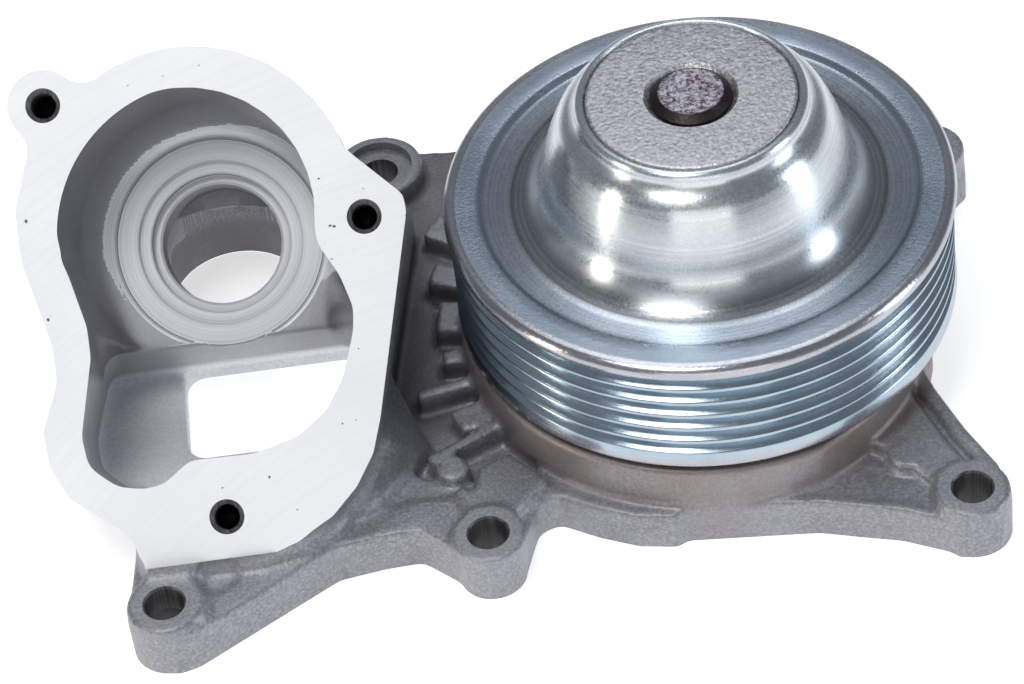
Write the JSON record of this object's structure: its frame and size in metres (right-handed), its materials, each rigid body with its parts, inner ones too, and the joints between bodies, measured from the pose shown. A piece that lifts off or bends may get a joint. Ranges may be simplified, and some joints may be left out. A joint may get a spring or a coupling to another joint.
{
  "type": "engine coolant pump",
  "caption": "Belt-driven coolant pump: ribbed pulley on a shaft bearing, cast housing with bolt bosses and a tilted thermostat neck.",
  "frame": {"origin": "on the shaft axis, in the plane of the engine mounting face", "axes": "+Z along the shaft from the engine face to the pulley, +X away from the thermostat neck, -Y towards the side with the front bolt bosses"},
  "size_m": [0.1913, 0.1333, 0.0794],
  "materials": {
    "cast_aluminium": "die-cast skin, fine grain, machined bright on the cover face and seat",
    "zinc_plated_steel": "blue-passivated zinc plate, glossy, faint spin marks",
    "blasted_steel": "matte, shot-blasted",
    "ground_steel": "ground and turned",
    "spring_steel": "drawn",
    "cage_brass": "pressed",
    "black_rubber": "matte",
    "carbon": "lapped, dull",
    "ceramic": "lapped silicon carbide",
    "moulded_plastic": "glass-filled, matte"
  },
  "bodies": {
    "housing": {"pump_housing": "cast_aluminium", "bearing_outer_ring": "ground_steel", "upper_bearing_shield": "black_rubber", "lower_bearing_shield": "black_rubber", "seal_cup": "cage_brass", "seal_spring": "spring_steel", "seal_bellows": "black_rubber", "carbon_ring": "carbon", "weep_hole_cap": "moulded_plastic", "volute_o_ring": "black_rubber", "port_seal": "black_rubber", "dowel_sleeves": "spring_steel"},
    "rotor": {"pulley": "zinc_plated_steel", "pulley_hub": "blasted_steel", "pump_shaft": "ground_steel", "mating_ring": "ceramic", "mating_ring_sleeve": "black_rubber", "impeller": "moulded_plastic", "impeller_bush": "ground_steel"},
    "ball_train": {"upper_bearing_balls": "ground_steel", "lower_bearing_balls": "ground_steel", "upper_ball_cage": "cage_brass", "lower_ball_cage": "cage_brass"}
  },
  "joints": [
    {"name": "rotor_spin", "type": "hinge", "parent": "housing", "child": "rotor", "pos_m": [0, 0, 0.045], "axis": [0, 0, 1], "continuous": true},
    {"name": "ball_train_spin", "type": "hinge", "parent": "housing", "child": "ball_train", "pos_m": [0, 0, 0.045], "axis": [0, 0, 1], "continuous": true}
  ],
  "couplings": [
    {"joint": "ball_train_spin", "follows": "rotor_spin", "ratio": 0.355}
  ]
}
